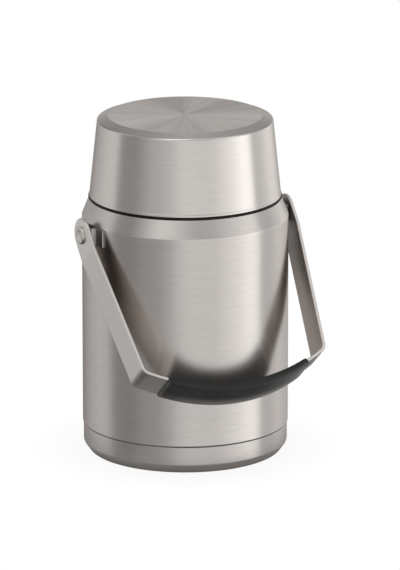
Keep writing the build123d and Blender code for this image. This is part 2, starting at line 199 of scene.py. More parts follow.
# Brush marks run round Z: the pattern changes fast along `across` and slowly round the axis.
def turnedSteelFinish(name, slope=1, settings=turnedSteel, disc=None):
    material, finish = newFinish(name)
    place = finish.objectPlace()
    x, y, z = finish.split(place)
    radius = (x * x + y * y) ** 0.5
    across = (z - radius * slope) * settings["across"]
    around = settings["around"]
    marks = finish.noise(finish.join(x * around, y * around, across), 1.0, 3.0, 0.6)
    wide = settings["bandsAround"]
    bands = finish.noise(finish.join(x * wide, y * wide, across * settings["bandsAcross"]), 1.0, 2.0)
    smudges = finish.noise(place, settings["smudges"], 3.0, 0.6)
    streaks = marks * 0.4 + bands * 0.5 + smudges * 0.1
    factor = finish.spread(streaks, 0.36, 0.64, 0, 1)
    color = finish.mixColor(factor, settings["darkColor"], settings["color"])
    # the disc's painted reflection spokes, the bevel's painted shade and the hem's painted highlight
    if disc:
        color = finish.scaleColor(color, discPaintedLight(finish, x, y, z, radius, disc))
    finish.surface(
        Base_Color=color,
        Metallic=1.0,
        Roughness=settings["roughness"] + (streaks - 0.5) * settings["streakRoughness"],
        Anisotropic=settings["anisotropy"],
        Anisotropic_Rotation=0.25,
        Specular_Tint=settings["tint"],
        Normal=finish.bump(marks, 0.35, settings["grainDepth"]),
    )
    return material


# The lid's turned top: the painted reflection spokes are angles round Z in degrees, each with a level from
# dark to light; the bevel's factor is painted shade and the hem's a painted highlight
lidTop = {
    "radius": 48.6,
    "bevelLow": 213.1,
    "hemHigh": 165.3,
    "bevelShade": 0.84,
    "hemPaintedHighlight": 0.12,
    "contrast": 0.45,
    "middle": 1.12,  # the sum of spokes and fine spokes that leaves the colour as it is
    "fineSpokes": 18,
    "fineShare": 1.2,
    "waver": 0.03,
    "paintedReflectionSpokes": [(-180, 0.95), (-168, 1.0), (-154, 0.72), (-146, 0.45), (-133, 0.7), (-122, 0.45),
               (-110, 0.55), (-102, 0.35), (-94, 0.78), (-76, 0.72), (-58, 0.85), (-50, 0.75), (-45, 0.5),
               (-39, 0.85), (-26, 0.78), (-13, 0.55), (-6, 0.22), (2, 0.4), (14, 0.12), (25, 0.18),
               (40, 0.65), (52, 0.7), (66, 0.25), (80, 0.0), (92, 0.3), (108, 0.62), (126, 0.7),
               (140, 0.55), (147, 0.4), (154, 0.75), (168, 0.8), (180, 0.95)],
}


blastedSteel = {
    "color": (0.870, 0.825, 0.790),
    "darkColor": (0.815, 0.772, 0.740),
    "roughness": 0.44,
    "grit": 4200,
    "cloud": 60,
}

# Where a bracket's colour is darkened as painted shade, in metres from the middle. The top is darkened all
# over.
bracketShade = {
    "sideX": 0.0668,  # side faces inside this
    "footRadius": 0.0655,  # the foot inside this
    "frontX": 0.0682,  # the front end inside this
    "edge": 0.0004,
    "shadeDepth": 0.5,
}


# the last argument: how much more, or less, the front end is darkened by painted shade than the rest
def bracketPaintedShade(finish, place, shade, frontPaintedShade):
    def within(squared, limit):
        return finish.spread(squared, limit ** 2, (limit + shade["edge"]) ** 2, 1, 0)

    x, y, z = finish.split(place)
    facing, sideways, upwards = finish.split(finish.node("ShaderNodeTexCoord", out="Normal"))
    # painted shade: side faces near the body, the foot and the top are darkened
    paintedShade = within(x * x, shade["sideX"]) * finish.spread(facing * facing, 0.4, 0.8, 0, 1)
    paintedShade = paintedShade.maths("MAXIMUM", paintedShade, within(x * x + y * y, shade["footRadius"]))
    paintedShade = paintedShade.maths("MAXIMUM", paintedShade, finish.spread(upwards, 0.3, 0.8, 0, 1))
    # painted shade on the front end, where the arm's shade falls
    if frontPaintedShade:
        front = within(x * x, shade["frontX"]) * finish.spread(sideways, -0.3, -0.8, 0, frontPaintedShade)
        paintedShade = paintedShade.maths("MAXIMUM", paintedShade, front)
    return 1 - paintedShade * shade["shadeDepth"]


def blastedSteelFinish(name, settings=blastedSteel, shade=None, frontPaintedShade=0.0):
    material, finish = newFinish(name)
    place = finish.objectPlace()
    grit = finish.noise(place, settings["grit"], 2.0, 0.6)
    cloud = finish.noise(place, settings["cloud"], 4.0, 0.6)
    wearAndSheen = finish.spread(grit * 0.35 + cloud * 0.65, 0.35, 0.65, 0, 1)
    color = finish.mixColor(wearAndSheen, settings["darkColor"], settings["color"])
    if shade:
        color = finish.scaleColor(color, bracketPaintedShade(finish, place, shade, frontPaintedShade))
    finish.surface(
        Base_Color=color,
        Metallic=1.0,
        Roughness=settings["roughness"] + (cloud - 0.5) * 0.16,
        Normal=finish.bump(grit, 0.5, 0.00003),
    )
    return material


mouldedFinishes = {
    "gripRubber": dict(color=(0.0152, 0.0147, 0.0143), light=(0.0250, 0.0242, 0.0235),
                       roughness=0.50, gloss=0.25, grit=2600, depth=0.00004),
    "blackPlastic": dict(color=(0.0050, 0.0046, 0.0036), light=(0.0085, 0.0080, 0.0066),
                         roughness=0.42, gloss=0.15, grit=3400, depth=0.00002),
    "silicone": dict(color=(0.42, 0.42, 0.42), light=(0.50, 0.50, 0.49),
                     roughness=0.55, gloss=0.5, grit=1800, depth=0.00002),
    "nylon": dict(color=(0.06, 0.06, 0.065), light=(0.09, 0.09, 0.095),
                  roughness=0.45, gloss=0.5, grit=2600, depth=0.00001),
    "greyPlastic": dict(color=(0.26, 0.27, 0.28), light=(0.31, 0.32, 0.33),
                        roughness=0.42, gloss=0.5, grit=2800, depth=0.00002),
    "darkPlastic": dict(color=(0.035, 0.035, 0.038), light=(0.055, 0.055, 0.06),
                        roughness=0.45, gloss=0.5, grit=2800, depth=0.00003),
}

# Where the grip's colour is painted paler, as painted sheen and a painted highlight, in metres, and how
# much. Across the grip, places run from its upper inner edge at 0.0145 down to the lower one; along it they
# are X.
gripPaintedLight = {
    "pivotZ": 0.146,
    "lean": (0.772, 0.636),  # cosine and sine of the bail's rest angle
    "arcMiddle": 0.0058,  # of the grip's outer face, below the pivots
    "arcRadius": 0.1242,
    "lowEdge": (-0.0142, -0.0024),
    "lowLeft": (-0.045, -0.02),  # the lower edge's painted sheen fades to a third between these
    "right": (0.0118, 0.007),
    "rightEnd": 0.044,
    "leftRim": (-0.0474, -0.0478),
    "lowGain": 8.0,
    "rightGain": 6.0,
    "rimGain": 1.8,
}


# Painted sheen at its lower edge and all over towards its right end, and a painted highlight at its left
# end's rim
def gripPaintedSheen(finish, place, wearAndSheen):
    x, y, z = finish.split(place)
    leanCos, leanSin = wearAndSheen["lean"]
    drop = (z - wearAndSheen["pivotZ"]) * leanCos + y * leanSin
    out = (x * x + (drop - wearAndSheen["arcMiddle"]) ** 2) ** 0.5 - wearAndSheen["arcRadius"]
    across = (z - wearAndSheen["pivotZ"]) * leanSin - y * leanCos - out
    low = finish.spread(across, *wearAndSheen["lowEdge"], 1, 0) ** 1.5 * finish.spread(x, *wearAndSheen["lowLeft"], 0.35, 1)
    right = finish.spread(across, *wearAndSheen["right"], 0, 1) * finish.spread(x, 0, wearAndSheen["rightEnd"], 0, 1) ** 2.5
    rim = finish.spread(x, *wearAndSheen["leftRim"], 0, 1)
    return 1 + low * wearAndSheen["lowGain"] + right * wearAndSheen["rightGain"] + rim * wearAndSheen["rimGain"]


def mouldedFinish(name):
    settings = mouldedFinishes[name]
    material, finish = newFinish(name)
    place = finish.objectPlace()
    grit = finish.noise(place, settings["grit"], 2.0, 0.55)
    flow = finish.noise(place, 38, 4.0, 0.55)
    tone = finish.spread(grit * 0.4 + flow * 0.6, 0.38, 0.62, 0, 1)
    color = finish.mixColor(tone, settings["color"], settings["light"])
    if name == "gripRubber":
        # painted sheen and highlight on the grip, standing for light from the floor
        color = finish.scaleColor(color, gripPaintedSheen(finish, place, gripPaintedLight))
    finish.surface(
        Base_Color=color,
        Roughness=settings["roughness"] + (flow - 0.5) * 0.2,
        Specular_IOR_Level=settings["gloss"],
        Normal=finish.bump(grit, 0.6, settings["depth"]),
    )
    return material


def foamFinish(name):
    material, finish = newFinish(name)
    place = finish.objectPlace()
    cells = finish.node("ShaderNodeTexVoronoi", sockets={"Vector": place, "Scale": 700})
    finish.surface(
        Base_Color=finish.mixColor(cells, (0.72, 0.69, 0.62), (0.86, 0.83, 0.75)),
        Roughness=0.85 - cells * 0.1,
        Normal=finish.bump(cells, 0.7, 0.0004),
    )
    return material


# darker copies of the bail's steel: painted shade on the inside face, which faces the body, and on the
# edges, dimming their highlights
bailInsideShaded = dict(blastedSteel, color=(0.560, 0.523, 0.497), darkColor=(0.505, 0.472, 0.448), roughness=0.36)
bailEdgeShaded = dict(blastedSteel, color=(0.680, 0.645, 0.617), darkColor=(0.630, 0.598, 0.572))
bracketSteel = dict(blastedSteel, color=(0.640, 0.603, 0.576), darkColor=(0.580, 0.547, 0.522))
pivotSteel = dict(blastedSteel, color=(0.720, 0.679, 0.648), darkColor=(0.670, 0.631, 0.603), roughness=0.38)
cupSteel = dict(turnedSteel, color=(0.598, 0.563, 0.536), darkColor=(0.562, 0.529, 0.504))
innerSteel = dict(turnedSteel, color=(0.64, 0.63, 0.615), darkColor=(0.59, 0.58, 0.565), roughness=0.24,
                  anisotropy=0.5, grainDepth=0.000003)
finishes = {
    "bodySteel": turnedSteelFinish("bodySteel"),
    "lidSteel": turnedSteelFinish("lidSteel", disc=lidTop),
    "cupSteel": turnedSteelFinish("cupSteel", slope=-1, settings=cupSteel),
    "innerSteel": turnedSteelFinish("innerSteel", slope=-1, settings=innerSteel),
    "bailSteel": blastedSteelFinish("bailSteel"),
    "bailInsideShaded": blastedSteelFinish("bailInsideShaded", bailInsideShaded),
    "bailEdgeShaded": blastedSteelFinish("bailEdgeShaded", bailEdgeShaded),
    # both brackets carry painted shade; the right one's front end more, for the arm's shade falling on it
    "bracketSteel_left": blastedSteelFinish("bracketSteel_left", bracketSteel, bracketShade),
    "bracketSteel_right": blastedSteelFinish("bracketSteel_right", bracketSteel, bracketShade, 1.4),
    "pivotSteel": blastedSteelFinish("pivotSteel", pivotSteel),
    "foam": foamFinish("foam"),
}
for finishName in mouldedFinishes:
    finishes[finishName] = mouldedFinish(finishName)
print("finishes made")


# A finished piece: built in millimetres, kept in metres, riding and standing where its CAD node does.
def addPiece(bm, name, finishName, node, others=()):
    bmesh.ops.scale(bm, vec=(mm, mm, mm), verts=bm.verts)
    for face in bm.faces:
        face.smooth = True
    mesh = bpy.data.meshes.new(name)
    bm.to_mesh(mesh)
    bm.free()
    mesh.materials.append(finishes[finishName])
    for other in others:
        mesh.materials.append(finishes[other])
    piece = bpy.data.objects.new(name, mesh)
    scene.collection.objects.link(piece)
    weighted = piece.modifiers.new("weighted", "WEIGHTED_NORMAL")
    weighted.keep_sharp = True
    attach(piece, bodyOf[node])
    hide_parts(node)


def lengthAlong(edge, axis):
    return abs(getattr(edge.verts[0].co, axis) - getattr(edge.verts[1].co, axis))


def sharpEdges(bm, angle):
    return [edge for edge in bm.edges if len(edge.link_faces) == 2 and edge.calc_face_angle() > angle]


def soften(bm, geom, offset, segments, affect="EDGES", clamp=False):
    bmesh.ops.bevel(bm, geom=geom, offset=offset, offset_type="OFFSET", segments=segments, profile=0.5,
                    affect=affect, clamp_overlap=clamp, material=-1)


threadRun = 0.4  # longest edge of a section where a thread is rolled
threadRunOut = 1.5  # length over which a thread fades at either end


# Half a section, as (radius, height) or (radius, height, rounding), turned about Z.
def turned(points, longest=4.0, steps=180, wall=0.0, wallOutside=False, thread=None):
    bm = bmesh.new()
    corners = [bm.verts.new((point[0], 0, point[1])) for point in points]
    for pair in zip(corners, corners[1:]):
        bm.edges.new(pair)
    runs = [after.co - before.co for before, after in zip(corners, corners[1:])]
    turns = [before.angle(after) for before, after in zip(runs, runs[1:])]
    for corner, turn, point in zip(corners[1:], turns, points[1:]):
        if len(point) > 2:
            soften(bm, [corner], point[2] * tan(turn / 2), max(3, int(turn / 0.14)), "VERTICES")
    for edge in bm.edges[:]:
        run = longest
        if thread:
            middleZ = (edge.verts[0].co.z + edge.verts[1].co.z) / 2
            if thread["low"] - 1 < middleZ < thread["high"] + 1:
                run = threadRun
        cuts = int(edge.calc_length() / run)
        if cuts:
            bmesh.ops.subdivide_edges(bm, edges=[edge], cuts=cuts)
    bmesh.ops.spin(bm, geom=bm.verts[:] + bm.edges[:], cent=(0, 0, 0), axis=(0, 0, 1), angle=2 * pi,
                   steps=steps, use_merge=True)
    bmesh.ops.remove_doubles(bm, verts=bm.verts, dist=0.001)
    if thread:
        rollThread(bm, thread)
    bmesh.ops.recalc_face_normals(bm, faces=bm.faces)
    if wallOutside:
        bmesh.ops.reverse_faces(bm, faces=bm.faces)
    if wall:
        bmesh.ops.solidify(bm, geom=bm.faces[:], thickness=wall)
    return bm


# A rolled thread: the wall swells along a helix, and runs out at both ends.
def rollThread(bm, thread):
    for vert in bm.verts:
        radius = vert.co.xy.length
        above, below = vert.co.z - thread["low"], thread["high"] - vert.co.z
        if abs(radius - thread["radius"]) > 0.2 or above < 0 or below < 0:
            continue
        phase = above / thread["pitch"] - atan2(vert.co.y, vert.co.x) / (2 * pi)
        ridge = max(0.0, cos(2 * pi * phase)) ** 1.5
        swell = thread["rise"] * ridge * min(1, above / threadRunOut, below / threadRunOut)
        vert.co.xy *= (radius + swell) / radius


# Vacuum body: brushed outer shell with a rolled neck, base cup, polished liner
shell = {
    "neck": 52.5,
    "seat": 60.5,
    "body": 65.0,
    "skirt": 63.6,
    "shoulderZ": 152.0,
    "seatZ": 163.2,
    "jointZ": 17.75,
    "wall": 0.7,
    "thread": dict(low=165.5, high=176.6, radius=52.5, pitch=5.0, rise=0.8),
}
skirtEnd, neckTop = (corner.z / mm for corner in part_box("outer_shell"))
outerShell = turned(
    [
        (shell["neck"], neckTop),
        (shell["neck"], shell["seatZ"], 1.0),
        (shell["seat"], shell["seatZ"], 0.35),
        (shell["body"], shell["shoulderZ"], 1.8),
        (shell["body"], shell["jointZ"], 0.85),
        (shell["skirt"], shell["jointZ"], 0.3),
        (shell["skirt"], skirtEnd),
    ],
    wall=shell["wall"],
    thread=shell["thread"],
)
addPiece(outerShell, "outerShell", "bodySteel", "outer_shell")

cup = {"radius": 64.45, "bevelZ": 5.2, "foot": 60.6, "ring": 5.5, "recess": 1.6, "wall": 0.8, "lip": 0.25}
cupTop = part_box("base_cup")[1].z / mm
baseCup = turned(
    [
        (cup["radius"] - cup["lip"], cupTop),
        (cup["radius"], cupTop - cup["lip"], 0.2),
        (cup["radius"], cup["bevelZ"], 3.0),
        (cup["foot"], 0, 1.4),
        (cup["foot"] - cup["ring"], 0, 0.9),
        (cup["foot"] - cup["ring"] - cup["recess"], cup["recess"], 1.2),
        (0, cup["recess"]),
    ],
    wall=cup["wall"],
)
addPiece(baseCup, "baseCup", "cupSteel", "base_cup")

liner = {
    "radius": 56.0,
    "mouth": 50.0,
    "lip": 52.5,
    "floorZ": 13.1,
    "waistZ": 151.0,
    "waistRise": 8.0,
    "wall": 0.6,
}
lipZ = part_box("inner_liner")[1].z / mm
innerLiner = turned(
    [
        (0, liner["floorZ"]),
        (liner["radius"], liner["floorZ"], 10.0),
        (liner["radius"], liner["waistZ"], 6.0),
        (liner["mouth"], liner["waistZ"] + liner["waistRise"], 4.0),
        (liner["mouth"], lipZ, 1.0),
        (liner["lip"], lipZ),
    ],
    wall=liner["wall"],
    wallOutside=True,
)
addPiece(innerLiner, "innerLiner", "innerSteel", "inner_liner")
print("vacuum body made")


# Lid: outer skin with a rolled hem, and the threaded bowl inside it
lid = {
    "rim": 60.4,
    "top": 55.25,
    "disc": lidTop["radius"],
    "topZ": 213.4,
    "wall": 0.7,
    "hemDepth": 1.5,
    "bead": 0.15,  # the rolled hem stands proud of the side
    "beadHeight": 1.3,
    "beadTop": 0.45,
    "draft": 0.13,
}
rimZ, discZ = (corner.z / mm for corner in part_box("lid_shell"))
lidShell = turned(
    [
        (lid["rim"] - lid["hemDepth"], rimZ),
        (lid["rim"], rimZ, 0.25),
        (lid["rim"] - lid["draft"], rimZ + lid["beadHeight"], 0.5),
        (lid["rim"] - lid["bead"] - lid["draft"], rimZ + lid["beadHeight"] + lid["beadTop"], 0.5),
        (lid["top"], lid["topZ"], 1.4),
        (lid["disc"], discZ, 2.0),
        (0, discZ),
    ],
    wall=lid["wall"],
)
addPiece(lidShell, "lidShell", "lidSteel", "lid_shell")

bowl = {
    "throat": 56.0,
    "throatHeight": 19.0,
    "waist": 52.7,
    "waistZ": 203.4,
    "floor": 46.9,
    "wall": 0.6,
    "thread": dict(low=170.0, high=184.0, radius=56.0, pitch=5.0, rise=0.8),
}
bowlRimZ, bowlFloorZ = (corner.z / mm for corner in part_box("lid_bowl"))
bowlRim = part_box("lid_bowl")[1].x / mm
lidBowl = turned(
    [
        (bowlRim, bowlRimZ),
        (bowl["throat"], bowlRimZ, 0.8),
        (bowl["throat"], bowlRimZ + bowl["throatHeight"], 8.0),
        (bowl["waist"], bowl["waistZ"], 6.0),
        (bowl["floor"], bowlFloorZ - bowl["wall"], 5.0),
        (0, bowlFloorZ - bowl["wall"]),
    ],
    wall=bowl["wall"],
    wallOutside=True,
    thread=bowl["thread"],
)
addPiece(lidBowl, "lidBowl", "innerSteel", "lid_bowl")


# A ring of rectangular section with softened edges
def ring(node, outer, inner, softness):
    low, high = (corner.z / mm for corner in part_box(node))
    middle = (outer + inner) / 2
    return turned([
        (middle, high),
        (outer, high, softness),
        (outer, low, softness),
        (inner, low, softness),
        (inner, high, softness),
        (middle, high),
    ], steps=144)


addPiece(ring("lid_seal", 58.6, 56.8, 0.4), "lidSeal", "silicone", "lid_seal")
addPiece(ring("stopper_gasket", 53.2, 49.7, 0.4), "stopperGasket", "silicone", "stopper_gasket")
print("lid made")


# Stopper: moulded body with a flange that shows as the black line under the lid
stopper = {
    "flange": 60.9,
    "flangeThickness": 1.6,
    "flangeRound": 0.55,
    "skirt": 55.0,
    "skirtBore": 53.5,
    "plug": 49.4,
    "plugBore": 47.4,
    "plugEndZ": 160.0,
    "gasketTopZ": 180.6,
    "pan": 45.4,
    "panZ": 176.4,
    "panFloor": 2.0,
    "barWidth": 13.0,
    "barDrop": 0.8,
    "barTuck": 0.8,  # both ends together, into the wall
    "barRound": 2.0,
    "coverStep": 2.0,
    "thread": dict(low=168.0, high=180.5, radius=55.0, pitch=5.0, rise=0.7),
}
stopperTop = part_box("stopper_body")[1].z / mm
flangeZ = shell["seatZ"]
stopperBody = turned(
    [
        (0, stopper["panZ"] - stopper["panFloor"]),
        (stopper["plugBore"], stopper["panZ"] - stopper["panFloor"]),
        (stopper["plugBore"], stopper["plugEndZ"]),
        (stopper["plug"], stopper["plugEndZ"]),
        (stopper["plug"], stopper["gasketTopZ"]),
        (stopper["skirtBore"], stopper["gasketTopZ"]),
        (stopper["skirtBore"], flangeZ),
        (stopper["flange"], flangeZ, stopper["flangeRound"]),
        (stopper["flange"], flangeZ + stopper["flangeThickness"], stopper["flangeRound"]),
        (stopper["skirt"], flangeZ + stopper["flangeThickness"], 0.5),
        (stopper["skirt"], stopperTop, 0.9),
        (stopper["pan"], stopperTop, 0.9),
        (stopper["pan"], stopper["panZ"], 1.2),
        (0, stopper["panZ"]),
    ],
    thread=stopper["thread"],
)
barHeight = stopperTop - stopper["barDrop"] - stopper["panZ"] + stopper["panFloor"] / 2
bar = bmesh.ops.create_cube(stopperBody, size=1)["verts"]
barSize = (2 * stopper["pan"] + stopper["barTuck"], stopper["barWidth"], barHeight)
bmesh.ops.scale(stopperBody, vec=barSize, verts=bar)
bmesh.ops.translate(stopperBody, vec=(0, 0, stopperTop - stopper["barDrop"] - barHeight / 2), verts=bar)
barEdges = {edge for vert in bar for edge in vert.link_edges}
longTop = [edge for edge in barEdges if lengthAlong(edge, "x") > 1 and edge.verts[0].co.z > stopper["panZ"]]
soften(stopperBody, longTop, stopper["barRound"], 5)
addPiece(stopperBody, "stopperBody", "blackPlastic", "stopper_body")

coverLow, coverTop = (corner.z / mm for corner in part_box("stopper_cover"))
stopperCover = turned([
    (0, coverLow),
    (stopper["plug"], coverLow, 1.2),
    (stopper["plug"], stopper["plugEndZ"]),
    (stopper["plugBore"], stopper["plugEndZ"]),
    (stopper["plugBore"], coverTop),
    (stopper["plugBore"] - stopper["coverStep"], coverTop),
    (stopper["plugBore"] - stopper["coverStep"], stopper["plugEndZ"]),
    (0, stopper["plugEndZ"]),
])
addPiece(stopperCover, "stopperCover", "blackPlastic", "stopper_cover")
print("stopper made")


# Food containers, standing on each other's lids
container = {
    "radius": 47.0,
    "draft": 2.0,
    "bore": 45.6,
    "rim": 47.9,
    "rimHeight": 2.4,
    "foot": 44.0,
    "footWidth": 1.8,
    "footHeight": 3.0,
    "footTop": 3.3,
    "footBevel": 1.4,
    "footDraft": 0.5,
    "footGap": 0.02,  # keeps the foot just off what it stands on
    "wall": 1.4,
}
containerLid = {"radius": 49.2, "wall": 1.0, "skirt": 5.0, "recess": 3.0, "recessRadius": 44.3}
for place in ("lower", "upper"):
    footZ, containerRimZ = (corner.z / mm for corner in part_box(place + "_container"))
    footZ += container["footGap"]
    floorZ = footZ + container["footHeight"]
    footTopZ = footZ + container["footTop"]
    shoulderZ = containerRimZ - container["rimHeight"]
    cupShape = turned([
        (0, floorZ),
        (container["foot"] - container["footWidth"] - container["footDraft"], floorZ),
        (container["foot"] - container["footWidth"], footZ, 0.4),
        (container["foot"], footZ, 0.4),
        (container["foot"], footTopZ),
        (container["radius"] - container["draft"], footTopZ + container["footBevel"], 1.0),
        (container["radius"], shoulderZ, 0.3),
        (container["rim"], shoulderZ, 0.3),
        (container["rim"], containerRimZ, 0.8),
        (container["bore"], containerRimZ, 0.5),
        (container["bore"] - container["draft"], floorZ + container["wall"], 4.0),
        (0, floorZ + container["wall"]),
    ], steps=144)
    addPiece(cupShape, place + "Container", "greyPlastic", place + "_container")
    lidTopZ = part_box(place + "_container_lid")[1].z / mm
    panZ = lidTopZ - containerLid["recess"]
    outside, pan, wall = containerLid["radius"], containerLid["recessRadius"], containerLid["wall"]
    skirtZ = lidTopZ - wall - containerLid["skirt"]
    lidShape = turned([
        (0, panZ),
        (pan, panZ, 0.6),
        (pan, lidTopZ, 0.4),
        (outside, lidTopZ, 0.7),
        (outside, skirtZ, 0.3),
        (outside - wall, skirtZ, 0.3),
        (outside - wall, lidTopZ - wall),
        (pan + wall, lidTopZ - wall),
        (pan + wall, panZ - wall),
        (0, panZ - wall),
    ], steps=144)
    addPiece(lidShape, place + "ContainerLid", "darkPlastic", place + "_container_lid")
print("containers made")


# Bail: a flat strip with round drilled ends, softened, then bent along its line.
# On the blank, X runs along the strip from the middle of the grip, Y across it, and Z out of its face.
bail = {
    "pivotZ": 146.0,
    "restAngle": 0.68871,
    "width": 21.4,
    "thickness": 2.1,
    "outerX": 71.95,
    "taper": 8.55,
    "straight": 14.0,
    "apexDrop": 118.4,
    "footRise": 17.4,
    "bend": 7.0,
    "eye": 3.05,
    "eyeBand": 1.2,  # flat rows of faces next to the eye and the rim of the round end
    "rimBand": 1.6,
    "edgeRound": 0.7,
    "spacings": (1.5, 5.0, 0.6, 2.0),  # of the rows along the straight end, arm, bend and foot
}
cornerX = bail["outerX"] - bail["taper"]
footRadius = (cornerX ** 2 + bail["footRise"] ** 2) / (2 * bail["footRise"])
footCentre = Vector((0, footRadius - bail["apexDrop"]))
corner = Vector((cornerX, bail["footRise"] - bail["apexDrop"]))
knee = Vector((bail["outerX"], -bail["straight"]))
armAlong = (knee - corner).normalized()
armInward = Vector((-armAlong.y, armAlong.x))
fromFoot = corner + armInward * bail["bend"] - footCentre
slide = -fromFoot.dot(armAlong)
slide -= sqrt(slide ** 2 - fromFoot.length_squared + (footRadius - bail["bend"]) ** 2)
bendCentre = footCentre + fromFoot + armAlong * slide
bendStart = atan2(bendCentre.x, footCentre.y - bendCentre.y)
bendEnd = atan2(-armInward.x, armInward.y)
armStart = bendCentre - armInward * bail["bend"]
footRun = footRadius * bendStart
bendRun = footRun + bail["bend"] * (bendEnd - bendStart)
armRun = bendRun + (knee - armStart).length
pivotRun = armRun + bail["straight"]


def alongBail(run, out):  # place in the bail's plane, at a run from its middle and a height off its face
    if run < footRun:
        angle = run / footRadius
        return footCentre + (footRadius + out) * Vector((sin(angle), -cos(angle)))
    if run < bendRun:
        angle = bendStart + (run - footRun) / bail["bend"]
        return bendCentre + (bail["bend"] + out) * Vector((sin(angle), -cos(angle)))
    if run < armRun:
        return armStart + armAlong * (run - bendRun) - armInward * out
    return knee + Vector((out, run - armRun))


def bendToBail(bm):
    tilt = bail["restAngle"]
    for vert in bm.verts:
        run, across, out = vert.co
        flat = alongBail(abs(run), out)
        vert.co = Vector((0, 0, bail["pivotZ"])) + Vector((flat.x if run > 0 else -flat.x, 0, 0))
        vert.co += flat.y * Vector((0, sin(tilt), cos(tilt))) + across * Vector((0, -cos(tilt), sin(tilt)))
    bmesh.ops.recalc_face_normals(bm, faces=bm.faces)


def openEdges(items):
    return [item for item in items if isinstance(item, bmesh.types.BMEdge) and len(item.link_faces) == 1]


halfWidth = bail["width"] / 2
strip = bmesh.new()
bmesh.ops.create_circle(strip, segments=32, radius=bail["eye"], matrix=Matrix.Translation((pivotRun, 0, 0)))
edges = strip.edges[:]
for radius in (bail["eye"] + bail["eyeBand"], halfWidth - bail["rimBand"], halfWidth):
    grown = bmesh.ops.extrude_edge_only(strip, edges=edges)["geom"]
    edges = openEdges(grown)
    rim = [item for item in grown if isinstance(item, bmesh.types.BMVert)]
    for vert in rim:
        ray = Vector((vert.co.x - pivotRun, vert.co.y)).normalized()
        vert.co = (pivotRun + ray.x * radius, ray.y * radius, 0)
for vert in rim:  # the half towards the strip becomes square
    ray = Vector((vert.co.x - pivotRun, vert.co.y))
    if ray.x < 0.01:
        ray *= halfWidth / max(abs(ray.x), abs(ray.y))
        vert.co = (pivotRun + ray.x, ray.y, 0)
edges = [edge for edge in edges if all(vert.co.x < pivotRun - halfWidth + 0.01 for vert in edge.verts)]
stations = [pivotRun - halfWidth]
for end, spacing in zip((armRun, bendRun, footRun, 0.0), bail["spacings"]):
    count = max(1, round((stations[-1] - end) / spacing))
    stations += [stations[-1] + (end - stations[-1]) * step / count for step in range(1, count + 1)]
for station in stations[1:]:
    grown = bmesh.ops.extrude_edge_only(strip, edges=edges)["geom"]
    edges = [edge for edge in openEdges(grown) if lengthAlong(edge, "x") < 0.01]
    for item in grown:
        if isinstance(item, bmesh.types.BMVert):
            item.co.x = station
bmesh.ops.mirror(strip, geom=strip.verts[:] + strip.edges[:] + strip.faces[:], axis="X", merge_dist=0.01)
bmesh.ops.remove_doubles(strip, verts=strip.verts, dist=0.01)
bmesh.ops.recalc_face_normals(strip, faces=strip.faces)
if strip.faces[0].normal.z < 0:
    bmesh.ops.reverse_faces(strip, faces=strip.faces)
bmesh.ops.solidify(strip, geom=strip.faces[:], thickness=bail["thickness"])
soften(strip, sharpEdges(strip, 1), bail["edgeRound"], 3)
# the inside face and the edges take the painted-shade copies
for face in strip.faces:  # inside and edge finishes
    if face.normal.z < 0.9:
        face.material_index = 1 if face.normal.z < -0.9 else 2
bendToBail(strip)
addPiece(strip, "bailStrip", "bailSteel", "bail", others=("bailInsideShaded", "bailEdgeShaded"))

# Grip: moulded rubber over the strip, fuller in the middle
grip = {
    "halfLength": 48.7,
    "side": 0.5,
    "inside": 1.2,
    "endCrown": 1.6,
    "crown": 3.4,
    "edgeRound": 2.2,
    "endRound": 0.8,
    "rows": 48,
    "columns": 4,
}
gripRun = footRadius * asin(grip["halfLength"] / footRadius)
gripWidth = bail["width"] + 2 * grip["side"]
gripDepth = bail["thickness"] + grip["inside"] + grip["endCrown"]
handle = bmesh.new()
bmesh.ops.create_cube(handle, size=1)
bmesh.ops.scale(handle, vec=(2 * gripRun, gripWidth, gripDepth), verts=handle.verts)
bmesh.ops.translate(handle, vec=(0, 0, grip["endCrown"] - gripDepth / 2), verts=handle.verts)
longEdges = [edge for edge in handle.edges if lengthAlong(edge, "x") > gripRun]
soften(handle, longEdges, grip["edgeRound"], 6)
endEdges = [edge for edge in handle.edges if all(abs(vert.co.x) > gripRun - 0.01 for vert in edge.verts)]
soften(handle, endEdges, grip["endRound"], 3)
longEdges = [edge for edge in handle.edges if lengthAlong(edge, "x") > gripRun]
bmesh.ops.subdivide_edges(handle, edges=longEdges, cuts=grip["rows"])
wideEdges = [edge for edge in handle.edges if lengthAlong(edge, "y") > gripWidth / 2]
bmesh.ops.subdivide_edges(handle, edges=wideEdges, cuts=grip["columns"])
for vert in handle.verts:
    share = max(0, (vert.co.z + bail["thickness"] + grip["inside"]) / gripDepth)
    vert.co.z += share * (grip["crown"] - grip["endCrown"]) * (1 - (vert.co.x / gripRun) ** 2)
bendToBail(handle)
addPiece(handle, "grip", "gripRubber", "grip")
print("bail made")

